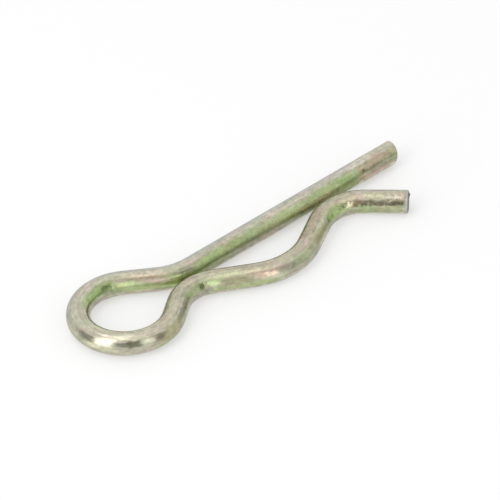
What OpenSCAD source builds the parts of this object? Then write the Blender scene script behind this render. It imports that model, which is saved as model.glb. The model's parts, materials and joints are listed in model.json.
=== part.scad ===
// Hitch R clip: a length of round spring wire, bent in one plane.
// The straight leg goes through the cross hole of a hitch pin, and the wavy leg hugs the pin's outside.
// The neck is where the straight leg bends off into the eye, and the waist is the wavy leg's crest beside it.
// The seat is the trough that holds the hitch pin, and the throat is the crest that the pin snaps past.
// The tail is the flared end that leads the hitch pin in.
// The origin is where the hitch pin's axis crosses the straight leg's axis.
// +X runs along the straight leg to its tip, +Y away from the wavy leg, and +Z along the hitch pin.

/* [Wire] */
// Diameter of the wire
wire_d = 4; // [3:0.1:5]
// Diameter that the wire loses in its bends, where bending draws it out
bend_loss = 0.02; // [0.01:0.01:0.1]

/* [Hitch pin] */
// Diameter of the hitch pin that the clip is made for
pin_d = 16; // [14:0.5:20]
// Room between the hitch pin and the bottom of its seat
pin_play = 0.4; // [0.1:0.1:1]

/* [Straight leg] */
// Length of the straight leg, from the neck to the tip
leg_l = 45; // [38:0.5:60]

/* [Eye] */
// Inside diameter of the eye
eye_d = 11.7; // [9:0.1:16]
// Distance of the eye's centre from the straight leg's axis, towards the wavy leg
eye_offset = 1.3; // [0.5:0.1:2]
// Inside radius of the bend at the neck
neck_inside_r = 8; // [5:0.5:12]
// Angle between the straight leg and the wire that rises from the neck to the eye
neck_angle = 35; // [28:0.5:42]
// Angle between the straight leg and the wire that comes back from the eye to the waist
return_angle = 36; // [28:0.5:44]

/* [Wavy leg] */
// Gap between the waist and the line of the straight leg
waist_gap = 0.05; // [0.05:0.05:1]
// Inside radius of the bend at the waist
waist_inside_r = 4.8; // [3:0.1:7]
// Angle between the straight leg and the wire on either side of the seat
seat_angle = 30.5; // [24:0.5:38]
// Difference between the seat's inside radius and the hitch pin's radius
seat_ease = 1.2; // [0.5:0.1:3]
// Gap between the throat and the straight leg
throat_gap = 0.65; // [0.1:0.05:2]
// Inside radius of the bend at the throat
throat_inside_r = 5.35; // [3:0.05:8]

/* [Tail] */
// Angle between the straight leg and the tail
tail_angle = 45; // [30:1:60]
// Length of the tail's straight end
tail_l = 7.5; // [4:0.5:12]

/* [Cut ends] */
// Slant of the shear cut at both ends
cut_slant = 7; // [0:1:12]
// Width of the edge that the shear rolls over as it enters the wire
cut_entry_edge = 0.4; // [0.1:0.05:0.6]
// Width of the edge that the shear leaves as it comes out of the wire
cut_exit_edge = 0.1; // [0.05:0.05:0.4]

/* [Hidden] */
$fn = 96;

wire_r = wire_d / 2;
// Length by which each straight run laps over the bends at its ends
lap = 0.1;

// Radii of the bends, at the middle of the wire
neck_r = neck_inside_r + wire_r;
eye_r = eye_d / 2 + wire_r;
waist_r = waist_inside_r + wire_r;
seat_r = pin_d / 2 + seat_ease + wire_r;
throat_r = throat_inside_r + wire_r;

// Distances of the wavy leg's crests and trough from the straight leg's axis
waist_y = wire_d + waist_gap;
seat_y = pin_d / 2 + pin_play + wire_r;
throat_y = wire_d + throat_gap;

// Sideways shift of the wire over a bend that starts along the straight leg
function shift(r, angle) = r * (1 - cos(angle));

// Straight runs of wire between one bend and the next
neck_run = (eye_r * cos(neck_angle) - eye_offset - shift(neck_r, neck_angle)) / sin(neck_angle);
return_run = (eye_r * cos(return_angle) + eye_offset - waist_y - shift(waist_r, return_angle))
  / sin(return_angle);
seat_in_run = (seat_y - waist_y - shift(waist_r + seat_r, seat_angle)) / sin(seat_angle);
seat_out_run = (seat_y - throat_y - shift(seat_r + throat_r, seat_angle)) / sin(seat_angle);

// Distances along the straight leg from the neck to the eye, the waist and the seat
eye_x = -(neck_r + eye_r) * sin(neck_angle) - neck_run * cos(neck_angle);
waist_x = eye_x + (eye_r + waist_r) * sin(return_angle) + return_run * cos(return_angle);
seat_x = waist_x + (waist_r + seat_r) * sin(seat_angle) + seat_in_run * cos(seat_angle);

// The wire from the neck to the tail: each bend's radius, its turn to the left, and the run after it
BENDS = [
  [neck_r, -neck_angle, neck_run],
  [eye_r, 180 + neck_angle + return_angle, return_run],
  [waist_r, -return_angle - seat_angle, seat_in_run],
  [seat_r, 2 * seat_angle, seat_out_run],
  [throat_r, -seat_angle - tail_angle, tail_l],
];

// Straight wire from the origin along X, lapping over the bends at its ends
module straight(l) {
  translate([-lap, 0, 0])
    rotate([0, 90, 0])
      cylinder(d = wire_d, h = l + 2 * lap);
}

// Straight wire whose far end is sheared on a slant, with its edge broken by an off-centre cone
module sheared(l) {
  cone_h = l + wire_d;
  cut_r = wire_r - (cut_entry_edge + cut_exit_edge) / 2;
  cone_y = (cut_entry_edge - cut_exit_edge) / 2;
  intersection() {
    straight(l + wire_r);
    translate([l, 0, 0])
      rotate(-cut_slant)
        translate([-cone_h, cone_y, 0])
          rotate([0, 90, 0])
            cylinder(r1 = cut_r + cone_h, r2 = cut_r, h = cone_h);
  }
}

// Bent wire that starts at the origin along X
module bend(r, turn) {
  mirror([0, turn < 0 ? 1 : 0, 0])
    translate([0, r, 0])
      rotate(-90)
        rotate_extrude(angle = abs(turn))
          translate([r, 0])
            circle(d = wire_d - bend_loss);
}

// Moves its children to the end of a bend, heading on along the wire
module past_bend(r, turn) {
  translate([r * sin(abs(turn)), sign(turn) * shift(r, turn), 0])
    rotate(turn)
      children();
}

// The wire from one bend on, to the end of the tail
module wire_from(step) {
  r = BENDS[step][0];
  turn = BENDS[step][1];
  run = BENDS[step][2];
  bend(r, turn);
  past_bend(r, turn) {
    if (step < len(BENDS) - 1) {
      straight(run);
      translate([run, 0, 0])
        wire_from(step + 1);
    } else {
      sheared(run);
    }
  }
}

module r_clip() {
  color([0.72, 0.70, 0.55])
    translate([-seat_x, 0, 0]) {
      sheared(leg_l);
      rotate(180)
        wire_from(0);
    }
}

r_clip();
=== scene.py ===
"""How the hitch R clip looks: drawn spring wire with a yellow zinc plate, on a pale table in
soft studio light.

The wire is swept along the same bends as the CAD solid, and gets its sheared ends and tool
marks here. Its plate is shaded in the space of the straightened wire, so that tints and
drawing lines follow every bend.

Lengths are in millimetres and angles in degrees, until they go into Blender. A place on the
wire is an arc length from the straight leg's tip and an angle round the wire, which is 0 at
the top and grows to the left, looking along the wire from that tip.
"""

import json
import math

import bpy
import numpy as np
from mathutils import Matrix, Vector


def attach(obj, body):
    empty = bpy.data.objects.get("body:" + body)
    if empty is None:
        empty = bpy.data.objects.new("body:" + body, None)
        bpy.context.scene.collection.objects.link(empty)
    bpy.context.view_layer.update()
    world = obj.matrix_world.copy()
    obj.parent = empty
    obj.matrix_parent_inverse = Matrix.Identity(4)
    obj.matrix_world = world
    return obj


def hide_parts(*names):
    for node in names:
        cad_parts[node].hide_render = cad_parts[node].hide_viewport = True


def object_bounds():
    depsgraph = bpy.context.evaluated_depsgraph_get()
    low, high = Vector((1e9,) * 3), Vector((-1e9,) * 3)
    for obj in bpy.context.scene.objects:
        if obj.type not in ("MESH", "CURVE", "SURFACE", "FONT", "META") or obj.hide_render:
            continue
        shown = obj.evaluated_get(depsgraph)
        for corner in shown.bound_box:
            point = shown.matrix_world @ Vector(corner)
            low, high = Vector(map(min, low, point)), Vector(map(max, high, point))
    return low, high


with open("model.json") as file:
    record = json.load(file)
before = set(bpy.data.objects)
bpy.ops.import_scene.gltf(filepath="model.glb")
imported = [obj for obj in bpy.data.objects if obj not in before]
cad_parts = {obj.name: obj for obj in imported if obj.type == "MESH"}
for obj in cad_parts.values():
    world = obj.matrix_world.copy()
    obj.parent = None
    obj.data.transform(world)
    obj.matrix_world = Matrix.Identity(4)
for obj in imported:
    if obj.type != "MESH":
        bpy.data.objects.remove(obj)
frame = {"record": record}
cad_low, cad_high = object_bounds()

MM = 0.001

# The wire's plan, as in the CAD source
mounts = {mount["name"]: mount for mount in frame["record"]["mounts"]}
WIRE_R = mounts["straight_leg"]["dims"]["r_mm"]
LEG_L = mounts["straight_leg"]["dims"]["length_mm"]
EYE_OFFSET = -mounts["eye"]["pos_m"][1] / MM
PIN_R = 8.0
PIN_PLAY = 0.4
EYE_INSIDE_R = 5.85
NECK_INSIDE_R = 8.0
NECK_ANGLE = 35.0
RETURN_ANGLE = 36.0
WAIST_GAP = 0.05
WAIST_INSIDE_R = 4.8
SEAT_ANGLE = 30.5
SEAT_EASE = 1.2
THROAT_GAP = 0.65
THROAT_INSIDE_R = 5.35
TAIL_ANGLE = 45.0
TAIL_L = 7.5

# How finely the wire's course is reckoned, and how far beyond both of its ends
COURSE_STEP = 0.02
COURSE_BEYOND = 1.0
BEND_EASE = 1.6  # wire over which a straight run goes over into a bend
EASE_STEPS = 17
EASE_SHIFT = 0.032  # how far the eased bends push the eye out, taken back by the whole wire

# The sheared ends: the slant of each cut, the side of the wire it leaves longest and the
# side it rolls over, and how far its longest point goes beyond the wire's nominal length
TIP_CUT = {"slant": 9.5, "long_side": -35.0, "rolled_side": 145.0, "reach": 0.2}
TAIL_CUT = {"slant": 3.4, "long_side": 100.0, "rolled_side": -50.0, "reach": -0.13}
CUT_SHARP_EDGE = 0.03
CUT_ROLLED_EDGE = 0.4

# The part of a cut that broke away and lies deeper. Its edge runs across the face between
# these shares of the face's radius, counted from the middle and away from the rolled side
FRACTURE_DEPTH = 0.05
FRACTURE_EDGE = (-0.3, -0.1)

# The burr on the tail's cut, which rises between these shares of the wire's radius
BURR_ANGLE = 90.0
BURR_WIDTH = 10.0
BURR_HEIGHT = 0.2
BURR_FROM = 0.93
BURR_TO = 0.98

# How far in and down the broken edge of a cut goes, in widths of that edge, from the cut
# face to the round
EDGE_PROFILE = [
    (1.3, 0.0),
    (1.0, 0.08),
    (0.76, 0.28),
    (0.52, 0.52),
    (0.28, 0.76),
    (0.08, 1.0),
    (0.0, 1.3),
]

# The swept mesh
SIDES = 80
RING_GAP = 0.22
FACE_RINGS = 9
FACE_SPAN = (0.1, 0.94)  # first and last ring of a cut face, in shares of its radius
LEAN_LENGTH = 2.0  # wire over which the rings lean over to the slant of a cut
LEAN_RINGS = 7

# The flat that the shear's grip leaves behind the straight leg's tip
GRIP_ANGLE = 78.0
GRIP_DEPTH = 0.07
GRIP_END = 7.6
GRIP_STEP = 0.9
GRIP_SPAN = 70.0  # to both sides of its middle, more than the flat is wide

# Marks of the bending tools: place along the wire, angle round it, half length, half width
# and depth
MARKS = [
    (8.1, 56, 0.30, 0.45, 0.06),
    (8.4, 84, 0.25, 0.50, 0.05),
    (58.9, 58, 0.45, 0.40, 0.05),
    (99.9, -60, 0.40, 0.55, 0.05),
    (100.9, -57, 0.35, 0.55, 0.05),
    (128.8, -56, 0.35, 0.50, 0.08),
    (129.6, -48, 0.30, 0.40, 0.05),
    (130.6, -72, 0.40, 0.50, 0.05),
]

# Small dents from forming and handling: the stretch of wire and of its round that they lie
# in, and their number
DENTED = [
    (0.5, 8.0, -180, 180, 30),
    (90.0, 136.0, -180, 180, 170),
    (136.0, 145.5, -80, -20, 45),
    (136.0, 145.5, -180, 180, 30),
    (136.0, 143.0, -70, -42, 60),
]
DENT_SIZES = (0.2, 0.45)
DENT_DEPTH = 0.022
DENT_SHALLOWEST = 0.3  # as a share of that depth
DENT_SEED = 5

# Places along the wire, and how uneven the forming tools left the surface there
WORKED = [
    (0.0, 0.8),
    (8.0, 0.8),
    (9.5, 0.4),
    (48.0, 0.3),
    (66.0, 0.3),
    (73.0, 0.15),
    (87.0, 0.15),
    (93.0, 0.8),
    (117.0, 0.8),
    (121.0, 1.2),
    (133.0, 1.2),
    (137.0, 1.1),
]

# Colours of the plate and of the cut steel, and of painted highlights, reflections and shade, 0
# to 255
SILVER = (194, 189, 171)
GREEN = (168, 181, 132)
MOSS = (138, 164, 96)
OLIVE = (122, 136, 86)
PINK = (192, 164, 148)
TAN = (172, 160, 134)
# Straw: a tint, and in places a painted highlight
STRAW_AND_HIGHLIGHT = (220, 217, 180)
PEACH = (222, 200, 176)
SLATE = (146, 146, 128)
GREY = (184, 184, 178)
ASH = (168, 165, 156)
# Pale: on the undersides a painted reflection of the white table
PALE_AND_RIM_REFLECTION = (222, 214, 206)
# Brown: also a painted dark reflection on the tail
BROWN_AND_DARK_REFLECTION = (134, 122, 98)
# Dark olive grey, only for painted dark reflections
PAINTED_DARK_REFLECTION = (126, 124, 98)
# Deep umber, only for painted shadow and painted dark reflections
PAINTED_DEEP_SHADE = (98, 91, 74)
# Cream, only for painted highlights
PAINTED_HIGHLIGHT = (226, 220, 194)
# Lime: a tint with a painted highlight
LIME_AND_HIGHLIGHT = (224, 236, 182)
LEAF = (178, 192, 140)
KHAKI = (162, 158, 126)
ROSE_TAN = (178, 165, 145)
CUT_DARK = (92, 89, 84)
CUT_LIGHT = (146, 144, 139)

# Patches of colour, stains of the plate among painted highlights, painted reflections and
# painted
# shade: from and to along the wire, from and to round it, and how strong. Each is laid over
# those before it
STAINS_AND_PAINTED_LIGHT = [
    # Undersides: pale rims, a painted reflection of the white table that the metal mirrors
    (PALE_AND_RIM_REFLECTION, -1, 45.5, 106, 150, 0.8),
    (PALE_AND_RIM_REFLECTION, 47.0, 59.0, 124, 150, 0.8),
    (PALE_AND_RIM_REFLECTION, 61.0, 67.0, 104, 150, 0.8),
    (PALE_AND_RIM_REFLECTION, 73.5, 88.5, 24, 60, 0.8),
    (PALE_AND_RIM_REFLECTION, 82.4, 147.0, -150, -120, 0.8),
    # Far side of the straight leg
    (GREY, 9.0, 62.0, -75, -4, 0.8),
    (PALE_AND_RIM_REFLECTION, 5.0, 15.0, -16, 20, 0.5),
    # Gripped tip
    (TAN, -1, 8.2, 22, 62, 0.8),
    (TAN, 3.4, 6.4, 8, 24, 0.6),
    # A painted dark reflection along the gripped tip, dark olive grey and then olive
    (PAINTED_DARK_REFLECTION, 2.6, 8.5, 55, 70, 0.8),
    (OLIVE, -1, 2.4, 57, 68, 0.8),
    (TAN, -1, 8.0, 67, 95, 0.7),
    (SLATE, -1, 8.0, 68, 100, 0.55),
    (PINK, 2.5, 8.3, 88, 120, 0.6),
    (PINK, 7.7, 8.9, 18, 100, 0.8),
    (BROWN_AND_DARK_REFLECTION, 7.6, 8.8, 44, 66, 0.9),
    (BROWN_AND_DARK_REFLECTION, 7.8, 9.0, 76, 102, 0.65),
    # Straight leg
    (GREEN, 8.9, 49.0, 20, 62, 0.4),
    (GREEN, 8.9, 49.0, 33, 62, 0.75),
    (MOSS, 9.0, 20.0, 40, 58, 0.3),
    (MOSS, 12.5, 18.5, 20, 40, 0.3),
    (KHAKI, 35.2, 38.4, 10, 28, 0.45),
    (MOSS, 35.0, 44.5, 24, 60, 0.35),
    (MOSS, 9.0, 49.0, 61, 77, 0.5),
    (OLIVE, 8.8, 14.0, 59, 80, 0.8),
    (OLIVE, 33.0, 48.0, 60, 76, 0.4),
    (OLIVE, 9.0, 15.8, 76, 112, 0.75),
    (OLIVE, 15.5, 23.5, 84, 106, 0.9),
    (STRAW_AND_HIGHLIGHT, 15.2, 24.0, 58, 80, 0.5),
    (LEAF, 21.8, 26.0, 58, 76, 0.7),
    # Painted shadow where the wavy leg's throat lies close against the leg
    (PAINTED_DEEP_SHADE, 19.4, 22.4, 84, 102, 0.5),
    (SLATE, 23.0, 37.0, 92, 110, 0.7),
    (OLIVE, 37.0, 52.0, 80, 114, 0.6),
    (SLATE, 20.0, 37.0, 74, 100, 0.8),
    (PINK, 27.5, 31.5, 92, 115, 0.6),
    # Neck
    (TAN, 49.5, 58.0, 12, 36, 0.35),
    (TAN, 50.0, 57.0, 29, 48, 0.8),
    (BROWN_AND_DARK_REFLECTION, 50.0, 56.0, 33, 46, 0.4),
    (PEACH, 50.0, 54.5, 52, 63, 0.7),
    (OLIVE, 47.0, 50.2, 30, 64, 0.5),
    (ASH, 45.6, 48.6, 22, 46, 0.5),
    # A lime tint with a painted highlight
    (LIME_AND_HIGHLIGHT, 54.6, 58.4, 49, 70, 1.0),
    (LEAF, 48.0, 60.0, 70, 100, 0.9),
    (GREEN, 58.2, 69.0, 26, 54, 0.8),
    (MOSS, 57.9, 66.5, 40, 74, 0.7),
    (SLATE, 57.5, 65.5, 80, 106, 0.7),
    # Eye
    (SLATE, 65.0, 72.0, 56, 86, 0.4),
    (ASH, 62.0, 71.5, -66, -31, 0.9),
    (OLIVE, 58.6, 60.8, 46, 66, 0.7),
    (LEAF, 60.2, 62.6, 36, 52, 0.5),
    # Painted highlights and a painted dark reflection in the bottom of the eye
    (PAINTED_HIGHLIGHT, 75.2, 79.2, -100, -68, 1.0),
    (PAINTED_DARK_REFLECTION, 73.8, 76.2, -78, -60, 0.6),
    (PAINTED_HIGHLIGHT, 80.4, 84.6, -40, -26, 0.7),
    # A straw tint with a painted highlight line along the seat
    (STRAW_AND_HIGHLIGHT, 103.0, 112.4, -40, -22, 0.7),  # on the seat, under the patches there
    # A painted dark reflection in the bottom of the eye
    (PAINTED_DEEP_SHADE, 81.0, 82.8, -76, -43, 0.8),
    # Run back from the eye
    (KHAKI, 85.0, 91.6, -108, -39, 0.8),
    # A painted dark reflection where the eye turns back
    (PAINTED_DEEP_SHADE, 84.8, 86.6, -78, -58, 0.4),
    (SLATE, 88.5, 95.0, 22, 52, 0.6),
    (TAN, 86.0, 93.0, -25, 20, 0.3),
    (SLATE, 89.5, 96.6, -66, -36, 1.0),
    # Waist, and the top of the whole wavy leg
    (TAN, 94.0, 146.0, -30, 70, 0.25),
    (GREEN, 95.5, 101.0, -78, -30, 0.9),
    (SLATE, 96.0, 100.0, -72, -36, 0.4),
    (SLATE, 94.5, 100.0, -40, -10, 0.3),
    (OLIVE, 99.7, 102.0, -72, -47, 0.85),
    (SLATE, 95.0, 102.5, -116, -78, 0.6),
    # Seat
    # A lime tint with a painted highlight on the seat's start
    (LIME_AND_HIGHLIGHT, 102.3, 104.4, -74, -50, 0.8),
    (GREEN, 101.6, 104.6, -54, -36, 0.6),
    (KHAKI, 104.0, 110.0, -82, -41, 0.8),
    (GREEN, 103.0, 113.0, -112, -82, 0.8),
    (PINK, 109.5, 114.8, -49, -37, 0.8),
    (PEACH, 110.0, 114.0, -72, -45, 0.7),
    (SLATE, 113.6, 117.0, -68, -46, 0.45),
    (GREEN, 116.0, 125.0, -75, -25, 0.5),
    (SLATE, 116.0, 124.0, -72, -30, 0.35),
    (SLATE, 114.5, 123.0, -98, -68, 0.5),
    # Throat
    (SLATE, 127.0, 142.0, -116, -82, 0.5),
    (SLATE, 126.6, 130.6, -102, -74, 0.6),
    (KHAKI, 122.0, 129.0, -75, -32, 0.7),
    (ROSE_TAN, 122.0, 130.0, -15, 30, 0.9),
    (OLIVE, 122.5, 128.5, -62, -52, 0.4),
    (OLIVE, 128.2, 130.0, -64, -46, 0.7),
    (GREEN, 129.0, 136.0, -84, -30, 0.8),
    (MOSS, 129.0, 134.0, -88, -40, 0.4),
    (KHAKI, 129.6, 133.2, -42, -20, 0.45),
    (BROWN_AND_DARK_REFLECTION, 130.0, 136.0, 5, 40, 0.15),
    # Tail
    # The tail's dark band: a painted dark reflection, with brown tint
    (PAINTED_DARK_REFLECTION, 136.0, 138.4, -74, -46, 1.0),
    (BROWN_AND_DARK_REFLECTION, 135.6, 145.2, -74, -42, 0.68),
    (BROWN_AND_DARK_REFLECTION, 143.9, 145.3, -82, -48, 0.5),
    (GREEN, 136.5, 145.5, -112, -70, 0.6),
    (KHAKI, 137.4, 142.2, -122, -102, 0.5),
    # Straw tints with painted highlights on the throat and tail
    (STRAW_AND_HIGHLIGHT, 134.3, 135.9, -72, -44, 0.8),
    (STRAW_AND_HIGHLIGHT, 134.0, 137.2, -40, -24, 0.45),
    (TAN, 136.6, 142.0, -34, -22, 0.5),
    (GREY, 136.0, 146.0, 4, 60, 0.6),
    (GREY, 145.35, 148.0, -181, 181, 0.8),
    # Sides that the photograph doesn't show
    (TAN, -1, 8.2, -180, -60, 0.7),
    (TAN, -1, 8.2, 120, 180, 0.7),
    (GREEN, 10.0, 30.0, -128, -88, 0.8),
    (PINK, 19.0, 24.0, -104, -76, 0.5),
    (STRAW_AND_HIGHLIGHT, 30.0, 46.0, -118, -84, 0.6),
    (MOSS, 33.0, 47.0, -165, -125, 0.6),
    (SLATE, 12.0, 26.0, -170, -140, 0.5),
    (LEAF, 51.0, 66.0, -140, -96, 0.8),
    (PINK, 59.0, 65.0, -108, -82, 0.5),
    (STRAW_AND_HIGHLIGHT, 66.0, 75.0, -150, -112, 0.6),
    (GREEN, 85.0, 96.0, -152, -106, 0.7),
    (MOSS, 70.0, 90.0, 108, 150, 0.6),
    (LEAF, 95.0, 111.0, 62, 118, 0.7),
    (PINK, 111.0, 118.0, 72, 112, 0.5),
    (GREEN, 117.0, 131.0, 84, 142, 0.7),
    (STRAW_AND_HIGHLIGHT, 137.0, 145.0, 58, 98, 0.6),
    (GREEN, 136.0, 147.0, 108, 160, 0.7),
]

# How far the patches' outlines stray and how soft they are, along the wire and round it
PATCH_DRIFT = 1.2
PATCH_SWAY = 6.0
PATCH_BLUR = 2.4
PATCH_BLUR_ROUND = 12.0

# The most that these may be, as shares of a patch's own length or width
STRAY_LIMIT = 0.2
BLUR_LIMIT = 0.5
BLUR_ROUND_LIMIT = 0.6

# The straying is a sum of waves: radians for each millimetre of wire, and waves round it
STRAY_WAVES = [(0.9, 2), (1.7, -3), (2.9, 5), (4.3, -7)]
DRIFT_SEED = 1.0
SWAY_SEED = 2.0

# Where the plate is duller: from and to along the wire, from and to round it, and how much
# rougher
DULL = [
    (8.5, 70.0, 60, 140, 0.15),
    (88.0, 97.0, -78, -34, 0.14),
    (121.0, 130.0, -78, -34, 0.14),
    (72.0, 88.0, -110, -30, 0.05),
    (113.5, 120.0, -78, -34, 0.14),
]

# Noises on the straightened wire: how far each is drawn out along it, its scale and its detail
MOTTLE = (1.8, 0.5, 2.0)
BLOTCHES = (1.3, 1.1, 2.0)
STREAKS = (12.0, 1.6, 2.0)
SPECKS = (1.5, 2.8, 1.0)
LINES = (30.0, 9.0, 2.0)
WAVES = (4.0, 1.5, 2.0)
GRAIN = (1.6, 2.3, 1.5)
NOISE_ROUGHNESS = 0.6
NOISE_RANGE = (0.3, 0.7)  # where nearly all of its values lie

# The plate's shading. The mottle goes from one tint to the other
MOTTLE_PINK = (1.055, 0.967, 1.01)
MOTTLE_GREEN = (0.91, 1.015, 0.915)
TONE_SWING = 0.3
SPECK_SWING = 0.07
EDGE_TINT = (0.83, 0.83, 0.83)  # what the plate mirrors at a glancing angle
ROUGHNESS = 0.17
ROUGHNESS_SWING = 0.05
WORKED_ROUGHER = 0.03  # where the tools left it uneven
CUT_ROUGHER = 0.25  # on the bare steel of the cuts

# Bumps: their height, and the shares of drawing lines and grain in them beside the waves
BUMP_HEIGHT = 0.03
LINE_SHARE = 0.1
GRAIN_SHARE = 2.0  # where the tools left it uneven
CUT_GRAIN = 2.5  # on the bare steel of the cuts

# Lamps: azimuth from the camera's side to the right, elevation, the width and height they
# cover as seen from the object, and radiance
SOFTBOXES = {
    "softbox_left": (-46, 26, 28, 70, 1.75),
    "softbox_right": (37, 24, 14, 36, 0.7),
    "overhead_left": (-90, 78, 40, 21, 0.9),
    "overhead": (90, 86.5, 28, 18, 0.22),
    "overhead_back": (-164, 59, 14, 18, 0.3),
}
SOFTBOX_DISTANCE = 600.0

# Dim cards that only show in the metal, in the same form
FLAGS = {
    "flag_camera": (-11, 20, 22, 38, 0.4),
    "flag_left": (-81, 17, 28, 40, 0.45),
    "flag_right": (60, 27, 20, 46, 0.4),
}
FLAG_DISTANCE = 700.0

# The room. Part of what is seen of the table is plain white, to the camera and in the metal
WHITE = (1, 1, 1, 1)
AMBIENT = 0.86
FLOOR_HALF = 3000.0
FLOOR_COLOUR = (0.92, 0.92, 0.92, 1)
FLOOR_WHITE = 0.45
FLOOR_IN_METAL = 0.7
MIRRORED_RAYS = ("Is Glossy Ray", "Is Transmission Ray")

# The camera of the photograph
IMAGE_SIZE = 500
SENSOR_WIDTH = 36.0
CAMERA_AZIMUTH = -39.67
CAMERA_ELEVATION = 38.24
CAMERA_ROLL = 3.07
CAMERA_DISTANCE = 855.0
CAMERA_NEAREST = 10.0
CAMERA_FARTHEST = 10000.0
NECK_PIXEL = (190.38, 268.98)
PIXELS_PER_MM = 6.0913  # at the neck


def sine(angle):
    return math.sin(math.radians(angle))


def cosine(angle):
    return math.cos(math.radians(angle))


def shift(radius, angle):
    """Sideways shift of the wire over a bend that starts along the straight leg."""
    return radius * (1 - cosine(angle))


# Radii of the bends, at the middle of the wire
NECK_R = NECK_INSIDE_R + WIRE_R
EYE_R = EYE_INSIDE_R + WIRE_R
WAIST_R = WAIST_INSIDE_R + WIRE_R
SEAT_R = PIN_R + SEAT_EASE + WIRE_R
THROAT_R = THROAT_INSIDE_R + WIRE_R

# Distances of the wavy leg's crests and trough from the straight leg's axis
WAIST_Y = 2 * WIRE_R + WAIST_GAP
SEAT_Y = PIN_R + PIN_PLAY + WIRE_R
THROAT_Y = 2 * WIRE_R + THROAT_GAP

# What the straight runs between one bend and the next have to rise, and their lengths
NECK_RISE = EYE_R * cosine(NECK_ANGLE) - EYE_OFFSET - shift(NECK_R, NECK_ANGLE)
RETURN_RISE = EYE_R * cosine(RETURN_ANGLE) + EYE_OFFSET - WAIST_Y - shift(WAIST_R, RETURN_ANGLE)
SEAT_IN_RISE = SEAT_Y - WAIST_Y - shift(WAIST_R + SEAT_R, SEAT_ANGLE)
SEAT_OUT_RISE = SEAT_Y - THROAT_Y - shift(SEAT_R + THROAT_R, SEAT_ANGLE)
NECK_RUN = NECK_RISE / sine(NECK_ANGLE)
RETURN_RUN = RETURN_RISE / sine(RETURN_ANGLE)
SEAT_IN_RUN = SEAT_IN_RISE / sine(SEAT_ANGLE)
SEAT_OUT_RUN = SEAT_OUT_RISE / sine(SEAT_ANGLE)

# Places along the straight leg, from the neck and then from the hitch pin's axis
EYE_X = -(NECK_R + EYE_R) * sine(NECK_ANGLE) - NECK_RUN * cosine(NECK_ANGLE)
WAIST_X = EYE_X + (EYE_R + WAIST_R) * sine(RETURN_ANGLE) + RETURN_RUN * cosine(RETURN_ANGLE)
SEAT_X = WAIST_X + (WAIST_R + SEAT_R) * sine(SEAT_ANGLE) + SEAT_IN_RUN * cosine(SEAT_ANGLE)
NECK_X = -SEAT_X
TIP_X = NECK_X + LEG_L

# Each bend from the neck on: its radius, its turn to the left, and the straight run after it
BENDS = [
    (NECK_R, -NECK_ANGLE, NECK_RUN),
    (EYE_R, 180 + NECK_ANGLE + RETURN_ANGLE, RETURN_RUN),
    (WAIST_R, -RETURN_ANGLE - SEAT_ANGLE, SEAT_IN_RUN),
    (SEAT_R, 2 * SEAT_ANGLE, SEAT_OUT_RUN),
    (THROAT_R, -SEAT_ANGLE - TAIL_ANGLE, TAIL_L),
]


def bend_plan():
    """Where along the wire it starts or stops bending, and its heading there."""
    places = [0.0, LEG_L]
    headings = [180.0, 180.0]
    for radius, turn, run in BENDS:
        places.append(places[-1] + radius * math.radians(abs(turn)))
        places.append(places[-1] + run)
        headings.extend([headings[-1] + turn] * 2)
    return places, headings


PLACES, HEADINGS = bend_plan()
WIRE_L = PLACES[-1]


def wire_course():
    """Arc length, heading in radians and centre of the wire, in close steps."""
    arc = np.arange(-COURSE_BEYOND, WIRE_L + COURSE_BEYOND, COURSE_STEP)
    eases = np.linspace(-BEND_EASE / 2, BEND_EASE / 2, EASE_STEPS)
    heading = np.mean([np.interp(arc + ease, PLACES, HEADINGS) for ease in eases], axis=0)
    turned = np.radians(heading)
    between = (turned[1:] + turned[:-1]) / 2
    x = np.concatenate([[0], np.cumsum(np.cos(between) * COURSE_STEP)])
    y = np.concatenate([[0], np.cumsum(np.sin(between) * COURSE_STEP)])
    x += TIP_X + EASE_SHIFT - np.interp(0, arc, x)
    y -= np.interp(0, arc, y)
    return arc, turned, x, y


COURSE = wire_course()


def on_wire(arc, angle, radius):
    """Points at these arc lengths, angles in radians and distances from the wire's middle."""
    course_arc, course_heading, course_x, course_y = COURSE
    heading = np.interp(arc, course_arc, course_heading)
    left = radius * np.sin(angle)
    x = np.interp(arc, course_arc, course_x) - left * np.sin(heading)
    y = np.interp(arc, course_arc, course_y) + left * np.cos(heading)
    z = radius * np.cos(angle)
    return np.stack([x, y, z], axis=-1)


def soft_step(value, start, end):
    """0 before start and 1 after end, with a smooth rise between them."""
    share = np.clip((value - start) / (end - start), 0, 1)
    return share * share * (3 - 2 * share)


def soft_window(value, low, high, blur):
    """1 between low and high and 0 outside, with edges of this width."""
    rise = soft_step(value, low - blur / 2, low + blur / 2)
    fall = soft_step(-value, -high - blur / 2, -high + blur / 2)
    return rise * fall


def wrapped(angle):
    """Angles in radians, from half a turn to the right to half a turn to the left."""
    return (angle + math.pi) % (2 * math.pi) - math.pi


ANGLES = np.arange(SIDES) * 2 * math.pi / SIDES


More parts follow.
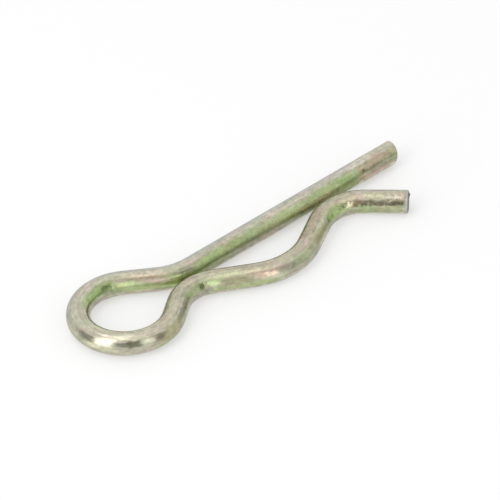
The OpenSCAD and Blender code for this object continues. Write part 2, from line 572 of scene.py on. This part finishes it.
def cut_rings(cut):
    """The rings over a sheared end, from its middle to the round of the wire: their radius,
    and how far their points go beyond the wire's nominal length."""
    from_long = np.cos(ANGLES - math.radians(cut["long_side"]))
    from_rolled = np.cos(ANGLES - math.radians(cut["rolled_side"]))
    rolled = ((1 + from_rolled) / 2) ** 2
    edge = CUT_SHARP_EDGE + (CUT_ROLLED_EDGE - CUT_SHARP_EDGE) * rolled
    face_r = WIRE_R - edge * EDGE_PROFILE[0][0]
    flat = []
    for share in np.linspace(*FACE_SPAN, FACE_RINGS):
        fracture = FRACTURE_DEPTH * soft_step(-share * from_rolled, *FRACTURE_EDGE)
        flat.append((face_r * share, -fracture))
    for in_share, down_share in EDGE_PROFILE:
        flat.append((WIRE_R - edge * in_share, -edge * down_share))
    slope = math.tan(math.radians(cut["slant"]))
    rings = []
    for radius, beyond in flat:
        slant = slope * (WIRE_R - radius * from_long)
        rings.append((radius, cut["reach"] + beyond - slant))
    return rings


def tip_rings():
    """Arc lengths and radii over the straight leg's cut, from its middle outwards."""
    return [(-beyond, radius) for radius, beyond in cut_rings(TIP_CUT)]


def tail_rings():
    """Arc lengths and radii over the tail's cut with its burr, inwards to its middle."""
    from_burr = np.degrees(wrapped(ANGLES - math.radians(BURR_ANGLE))) / BURR_WIDTH
    burr = BURR_HEIGHT * np.exp(-from_burr ** 2)
    rings = []
    for radius, beyond in reversed(cut_rings(TAIL_CUT)):
        at_edge = soft_step(radius, BURR_FROM * WIRE_R, BURR_TO * WIRE_R)
        rings.append((WIRE_L + beyond + burr * at_edge, radius))
    return rings


def wire_rings():
    """Arc length and radius of every vertex, ring by ring, from the straight leg's cut to the
    tail's."""
    first = tip_rings()
    last = tail_rings()
    start = LEAN_LENGTH
    end = WIRE_L - LEAN_LENGTH
    whole = np.full(SIDES, WIRE_R)
    leans = np.linspace(0, 1, LEAN_RINGS + 2)[1:-1]
    rings = list(first)
    for lean in leans:
        rings.append((first[-1][0] * (1 - lean) + start * lean, whole))
    for arc in np.linspace(start, end, round(WIRE_L / RING_GAP)):
        rings.append((np.full(SIDES, arc), whole))
    for lean in leans:
        rings.append((end * (1 - lean) + last[0][0] * lean, whole))
    rings += last
    arcs, radii = zip(*rings)
    return np.array(arcs), np.array(radii)


def scattered_dents():
    """The small dents, in the form of the tool marks."""
    draw = np.random.default_rng(DENT_SEED)
    dents = []
    for start, end, low, high, count in DENTED:
        along = draw.uniform(start, end, count)
        round_at = draw.uniform(low, high, count)
        half_long = draw.uniform(*DENT_SIZES, count)
        half_wide = draw.uniform(*DENT_SIZES, count)
        depth = DENT_DEPTH * draw.uniform(DENT_SHALLOWEST, 1, count)
        dents.extend(zip(along, round_at, half_long, half_wide, depth))
    return dents


def marked(arc, angle, radius):
    """The radius with the flat of the shear's grip, the marks of the bending tools and the
    dents pressed into it."""
    span = math.radians(GRIP_SPAN)
    from_flat = wrapped(angle - math.radians(GRIP_ANGLE))
    depth = GRIP_DEPTH * soft_step(-arc, -GRIP_END - GRIP_STEP, -GRIP_END)
    facing = np.cos(np.clip(from_flat, -span, span))
    pressed = np.minimum(radius, (WIRE_R - depth) / facing)
    for along, round_at, half_long, half_wide, mark_depth in MARKS + scattered_dents():
        far_along = (arc - along) / half_long
        far_round = wrapped(angle - math.radians(round_at)) * WIRE_R / half_wide
        pressed = pressed - mark_depth * np.exp(-far_along ** 2 - far_round ** 2)
    return pressed


def wobble(arc, angle, seed):
    """Smooth unevenness between -1 and 1, which meets itself after a full turn round the
    wire."""
    parts = []
    for number, (along, turns) in enumerate(STRAY_WAVES, start=1):
        parts.append(np.sin(along * arc + turns * angle + seed * number))
    return sum(parts) / len(parts)


def linear(colour):
    """A colour as Blender reckons with it, from 0 to 255 by the sRGB curve."""
    shares = np.array(colour) / 255
    return np.where(shares <= 0.04045, shares / 12.92, ((shares + 0.055) / 1.055) ** 2.4)


def plate_colours_and_painted_light(arc, angle):
    """The plate's colour at each vertex: silver, with the patches laid over it, which hold
    stains and painted highlights, reflections and shade.
    """
    degrees = np.degrees(wrapped(angle))
    stray_along = wobble(arc, angle, DRIFT_SEED)
    stray_around = wobble(arc, angle, SWAY_SEED)
    colours = np.tile(linear(SILVER), (len(arc), 1))
    for colour, start, end, low, high, strength in STAINS_AND_PAINTED_LIGHT:
        long = end - start
        wide = high - low
        along = arc + min(PATCH_DRIFT, STRAY_LIMIT * long) * stray_along
        around = degrees + min(PATCH_SWAY, STRAY_LIMIT * wide) * stray_around
        blur = min(PATCH_BLUR, BLUR_LIMIT * long)
        blur_round = min(PATCH_BLUR_ROUND, BLUR_ROUND_LIMIT * wide)
        weight = soft_window(along, start, end, blur)
        weight = weight * soft_window(around, low, high, blur_round)
        weight = (strength * weight)[:, None]
        colours = colours * (1 - weight) + linear(colour) * weight
    return colours


def plate_dullness(arc, angle):
    """How much rougher the plate is at each vertex."""
    degrees = np.degrees(wrapped(angle))
    dullness = np.zeros(len(arc))
    for start, end, low, high, rougher in DULL:
        weight = soft_window(arc, start, end, PATCH_BLUR)
        weight = weight * soft_window(degrees, low, high, PATCH_BLUR_ROUND)
        dullness = np.maximum(dullness, rougher * weight)
    return dullness


def keep_attribute(mesh, name, kind, field, values):
    kept = mesh.attributes.new(name, kind, "POINT")
    kept.data.foreach_set(field, values.astype(np.float32).ravel())


def keep_surface(mesh, arc, angle, radius, bare):
    """Keeps what the plate's material has to know of each vertex: its place on the
    straightened wire, its colour with its painted highlights, reflections and shade, and where
    it is bare steel, dull or worked by tools."""
    unbent = np.stack([arc, radius * np.sin(angle), radius * np.cos(angle)], axis=-1)
    opaque = np.ones((len(arc), 1))
    colours = np.hstack([plate_colours_and_painted_light(arc, angle), opaque])
    keep_attribute(mesh, "unbent", "FLOAT_VECTOR", "vector", unbent)
    keep_attribute(mesh, "plate", "FLOAT_COLOR", "color", colours)
    keep_attribute(mesh, "bare", "FLOAT", "value", bare)
    keep_attribute(mesh, "dull", "FLOAT", "value", plate_dullness(arc, angle))
    keep_attribute(mesh, "worked", "FLOAT", "value", np.interp(arc, *zip(*WORKED)))


def wire_faces(rows):
    """Faces between so many rings, and over the first and last ring to the middle points of
    the cuts, which come after all the rings."""
    corner = np.arange(rows * SIDES).reshape(rows, SIDES)
    beside = np.roll(corner, -1, axis=1)
    quads = np.stack([corner[:-1], corner[1:], beside[1:], beside[:-1]], axis=-1)
    faces = quads.reshape(-1, 4).tolist()
    tip_middle = rows * SIDES
    tail_middle = tip_middle + 1
    for side in range(SIDES):
        after = (side + 1) % SIDES
        faces.append((tip_middle, side, after))
        faces.append((tail_middle, int(corner[-1, after]), int(corner[-1, side])))
    return faces


def wire_mesh():
    """The swept wire with its cuts and marks."""
    arc, radius = wire_rings()
    rows = len(arc)
    angle = np.broadcast_to(ANGLES, arc.shape)
    on_round = radius > WIRE_R - CUT_ROLLED_EDGE
    radius = np.where(on_round, marked(arc, angle, radius), radius)
    bare = np.zeros(arc.shape)
    bare[:FACE_RINGS] = 1
    bare[-FACE_RINGS:] = 1
    arc = np.append(arc.ravel(), [np.mean(arc[0]), np.mean(arc[-1])])
    angle = np.append(angle.ravel(), [0.0, 0.0])
    radius = np.append(radius.ravel(), [0.0, 0.0])
    bare = np.append(bare.ravel(), [1.0, 1.0])
    mesh = bpy.data.meshes.new("r_clip_wire")
    mesh.from_pydata((on_wire(arc, angle, radius) * MM).tolist(), [], wire_faces(rows))
    keep_surface(mesh, arc, angle, radius, bare)
    mesh.polygons.foreach_set("use_smooth", np.ones(len(mesh.polygons), bool))
    mesh.update()
    return mesh


def add_node(tree, kind, inputs, **settings):
    """A new node with these settings, each given input set or linked."""
    made = tree.nodes.new(kind)
    for name, value in settings.items():
        setattr(made, name, value)
    for name, value in inputs.items():
        if isinstance(value, bpy.types.NodeSocket):
            tree.links.new(value, made.inputs[name])
        else:
            made.inputs[name].default_value = value
    return made


def read_attribute(tree, name, output):
    return add_node(tree, "ShaderNodeAttribute", {}, attribute_name=name).outputs[output]


def reckoned(tree, operation, *values):
    """What this operation of a Math node makes of these values."""
    made = add_node(tree, "ShaderNodeMath", dict(enumerate(values)), operation=operation)
    return made.outputs[0]


def stretched_noise(tree, place, stretch, scale, detail):
    """Noise on the straightened wire, drawn out along it by this much."""
    inputs = {0: place, 1: (1 / stretch, 1, 1)}
    squeezed = add_node(tree, "ShaderNodeVectorMath", inputs, operation="MULTIPLY")
    inputs = {
        "Vector": squeezed.outputs[0],
        "Scale": scale,
        "Detail": detail,
        "Roughness": NOISE_ROUGHNESS,
    }
    return add_node(tree, "ShaderNodeTexNoise", inputs).outputs[0]


def spread(tree, value, low, high):
    """Noise, which stays near a half, spread from low to high."""
    inputs = {
        "Value": value,
        "From Min": NOISE_RANGE[0],
        "From Max": NOISE_RANGE[1],
        "To Min": low,
        "To Max": high,
    }
    return add_node(tree, "ShaderNodeMapRange", inputs).outputs[0]


def mixed(tree, share, first, second, how="MIX"):
    """Two colours mixed. The sockets are numbered, because a Mix node has one set of them for
    each kind of value."""
    inputs = {0: share, 6: first, 7: second}
    return add_node(tree, "ShaderNodeMix", inputs, data_type="RGBA", blend_type=how).outputs[2]


def plate_tone(tree, place, streaks):
    """How light or dark the plate is: streaks and blotches in equal parts, and specks."""
    blotches = stretched_noise(tree, place, *BLOTCHES)
    tone = reckoned(tree, "MULTIPLY", reckoned(tree, "ADD", streaks, blotches), 0.5)
    tone = spread(tree, tone, 1 - TONE_SWING, 1 + TONE_SWING)
    specks = stretched_noise(tree, place, *SPECKS)
    specks = spread(tree, specks, 1 - SPECK_SWING, 1 + SPECK_SWING)
    return reckoned(tree, "MULTIPLY", tone, specks)


def plate_colour(tree, place, bare, streaks, grain):
    """The patches of colour, mottled and streaked, and the bare steel of the cuts."""
    mottle = stretched_noise(tree, place, *MOTTLE)
    hue = mixed(tree, spread(tree, mottle, 0, 1), (*MOTTLE_PINK, 1), (*MOTTLE_GREEN, 1))
    patches = mixed(tree, 1.0, read_attribute(tree, "plate", "Color"), hue, "MULTIPLY")
    tone = plate_tone(tree, place, streaks)
    shade = add_node(tree, "ShaderNodeCombineColor", {0: tone, 1: tone, 2: tone}).outputs[0]
    plate = mixed(tree, 1.0, patches, shade, "MULTIPLY")
    dark = (*linear(CUT_DARK), 1)
    light = (*linear(CUT_LIGHT), 1)
    steel = mixed(tree, spread(tree, grain, 0, 1), dark, light)
    return mixed(tree, bare, plate, steel)


def plate_roughness(tree, bare, worked, streaks):
    """Rougher in streaks, and where the plate is worked, cut or dull."""
    rough = spread(tree, streaks, ROUGHNESS - ROUGHNESS_SWING, ROUGHNESS + ROUGHNESS_SWING)
    rough = reckoned(tree, "MULTIPLY_ADD", worked, WORKED_ROUGHER, rough)
    rough = reckoned(tree, "MULTIPLY_ADD", bare, CUT_ROUGHER, rough)
    return reckoned(tree, "ADD", read_attribute(tree, "dull", "Fac"), rough)


def plate_normal(tree, place, bare, worked, grain):
    """Bumps: waves and drawing lines all over, and grain where the plate is worked or cut."""
    lines = stretched_noise(tree, place, *LINES)
    waves = stretched_noise(tree, place, *WAVES)
    height = reckoned(tree, "MULTIPLY_ADD", lines, LINE_SHARE, waves)
    share = reckoned(tree, "MULTIPLY", worked, GRAIN_SHARE)
    share = reckoned(tree, "MULTIPLY_ADD", bare, CUT_GRAIN, share)
    height = reckoned(tree, "MULTIPLY_ADD", grain, share, height)
    inputs = {"Height": height, "Strength": 1.0, "Distance": BUMP_HEIGHT * MM}
    return add_node(tree, "ShaderNodeBump", inputs).outputs["Normal"]


def plate_material():
    """Yellow passivated zinc on drawn wire, with highlights, reflections and shade painted into
    its colour in places.
    """
    made = bpy.data.materials.new("zinc_plate")
    made.use_nodes = True
    tree = made.node_tree
    shader = tree.nodes["Principled BSDF"]
    place = read_attribute(tree, "unbent", "Vector")
    bare = read_attribute(tree, "bare", "Fac")
    worked = read_attribute(tree, "worked", "Fac")
    streaks = stretched_noise(tree, place, *STREAKS)
    grain = stretched_noise(tree, place, *GRAIN)
    colour = plate_colour(tree, place, bare, streaks, grain)
    rough = plate_roughness(tree, bare, worked, streaks)
    normal = plate_normal(tree, place, bare, worked, grain)
    tree.links.new(colour, shader.inputs["Base Color"])
    tree.links.new(rough, shader.inputs["Roughness"])
    tree.links.new(normal, shader.inputs["Normal"])
    shader.inputs["Metallic"].default_value = 1.0
    shader.inputs["Specular Tint"].default_value = (*EDGE_TINT, 1)
    return made


def toward(azimuth, elevation):
    """Direction from the object, with the azimuth counted from the camera's side to the
    right."""
    whole = CAMERA_AZIMUTH + azimuth
    flat = cosine(elevation)
    return Vector((sine(whole) * flat, -cosine(whole) * flat, sine(elevation)))


def make_camera():
    """The photograph's camera, placed so that the neck falls on its pixel."""
    right = Vector((cosine(CAMERA_AZIMUTH), sine(CAMERA_AZIMUTH), 0))
    back = toward(0, CAMERA_ELEVATION)
    up = back.cross(right)
    rolled_right = right * cosine(CAMERA_ROLL) - up * sine(CAMERA_ROLL)
    rolled_up = right * sine(CAMERA_ROLL) + up * cosine(CAMERA_ROLL)
    neck_right = (NECK_PIXEL[0] - IMAGE_SIZE / 2) / PIXELS_PER_MM
    neck_up = (IMAGE_SIZE / 2 - NECK_PIXEL[1]) / PIXELS_PER_MM
    place = Vector((NECK_X, 0, 0)) + back * CAMERA_DISTANCE
    place = place - rolled_right * neck_right - rolled_up * neck_up
    data = bpy.data.cameras.new("camera")
    data.sensor_width = SENSOR_WIDTH
    data.lens = SENSOR_WIDTH * PIXELS_PER_MM * CAMERA_DISTANCE / IMAGE_SIZE
    data.clip_start = CAMERA_NEAREST * MM
    data.clip_end = CAMERA_FARTHEST * MM
    camera = bpy.data.objects.new("camera", data)
    turned = Matrix((rolled_right, rolled_up, back)).transposed()
    camera.matrix_world = Matrix.Translation(place * MM) @ turned.to_4x4()
    bpy.context.scene.collection.objects.link(camera)
    bpy.context.scene.camera = camera


def aimed(obj, azimuth, elevation, distance):
    """Puts a lamp or card round the object, with its face to the object."""
    direction = toward(azimuth, elevation)
    obj.location = direction * distance
    obj.rotation_mode = "QUATERNION"
    obj.rotation_quaternion = direction.to_track_quat("Z", "Y")
    bpy.context.scene.collection.objects.link(obj)


def half_across(angle, distance):
    """Half the width that covers this angle at this distance."""
    return distance * math.tan(math.radians(angle / 2))


def make_softbox(name, azimuth, elevation, wide, high, radiance):
    """An even lamp that the camera doesn't see."""
    distance = SOFTBOX_DISTANCE * MM
    data = bpy.data.lights.new(name, "AREA")
    data.shape = "RECTANGLE"
    data.size = 2 * half_across(wide, distance)
    data.size_y = 2 * half_across(high, distance)
    data.energy = radiance * math.pi * data.size * data.size_y
    lamp = bpy.data.objects.new(name, data)
    lamp.visible_camera = False
    aimed(lamp, azimuth, elevation, distance)


def empty_material(name):
    """A new material without any nodes."""
    made = bpy.data.materials.new(name)
    made.use_nodes = True
    made.node_tree.nodes.clear()
    return made


def flat_card(name, half_x, half_y, material):
    """A flat rectangle round its own middle."""
    corners = [
        (-half_x, -half_y, 0),
        (half_x, -half_y, 0),
        (half_x, half_y, 0),
        (-half_x, half_y, 0),
    ]
    mesh = bpy.data.meshes.new(name)
    mesh.from_pydata(corners, [], [(0, 1, 2, 3)])
    mesh.materials.append(material)
    return bpy.data.objects.new(name, mesh)


def make_flag(name, azimuth, elevation, wide, high, radiance):
    """A dim card that only shows in the metal."""
    distance = FLAG_DISTANCE * MM
    dim = empty_material(name)
    colour = (radiance, radiance, radiance, 1)
    glow = add_node(dim.node_tree, "ShaderNodeEmission", {"Color": colour})
    add_node(dim.node_tree, "ShaderNodeOutputMaterial", {"Surface": glow.outputs[0]})
    flag = flat_card(name, half_across(wide, distance), half_across(high, distance), dim)
    flag.visible_camera = False
    flag.visible_diffuse = False
    flag.visible_shadow = False
    aimed(flag, azimuth, elevation, distance)


def make_floor():
    """A pale table. The plain white in it keeps the object's shadow faint."""
    pale = empty_material("floor")
    tree = pale.node_tree
    matt = add_node(tree, "ShaderNodeBsdfDiffuse", {"Color": FLOOR_COLOUR})
    white = add_node(tree, "ShaderNodeEmission", {"Color": WHITE, "Strength": 1.0})
    path = tree.nodes.new("ShaderNodeLightPath")
    share = reckoned(tree, "MULTIPLY", path.outputs["Is Camera Ray"], FLOOR_WHITE)
    for ray in MIRRORED_RAYS:
        share = reckoned(tree, "MULTIPLY_ADD", path.outputs[ray], FLOOR_IN_METAL, share)
    inputs = {0: share, 1: matt.outputs[0], 2: white.outputs[0]}
    both = add_node(tree, "ShaderNodeMixShader", inputs)
    add_node(tree, "ShaderNodeOutputMaterial", {"Surface": both.outputs[0]})
    floor = flat_card("floor", FLOOR_HALF * MM, FLOOR_HALF * MM, pale)
    floor.location.z = cad_low.z
    bpy.context.scene.collection.objects.link(floor)


def make_world():
    """Even light from all round, which the camera and the metal see as a white room."""
    world = bpy.data.worlds.new("studio")
    bpy.context.scene.world = world
    world.use_nodes = True
    tree = world.node_tree
    tree.nodes.clear()
    even = add_node(tree, "ShaderNodeBackground", {"Color": WHITE, "Strength": AMBIENT})
    white = add_node(tree, "ShaderNodeBackground", {"Color": WHITE, "Strength": 1.0})
    path = tree.nodes.new("ShaderNodeLightPath")
    seen = path.outputs["Is Camera Ray"]
    for ray in MIRRORED_RAYS:
        seen = reckoned(tree, "MAXIMUM", seen, path.outputs[ray])
    inputs = {0: seen, 1: even.outputs[0], 2: white.outputs[0]}
    both = add_node(tree, "ShaderNodeMixShader", inputs)
    add_node(tree, "ShaderNodeOutputWorld", {"Surface": both.outputs[0]})


make_camera()
wire = bpy.data.objects.new("r_clip_wire", wire_mesh())
wire.data.materials.append(plate_material())
bpy.context.scene.collection.objects.link(wire)
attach(wire, "root")
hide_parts("r_clip")
make_floor()
make_world()
for name, values in SOFTBOXES.items():
    make_softbox(name, *values)
for name, values in FLAGS.items():
    make_flag(name, *values)
bpy.context.scene.view_settings.view_transform = "Standard"

bpy.context.view_layer.update()
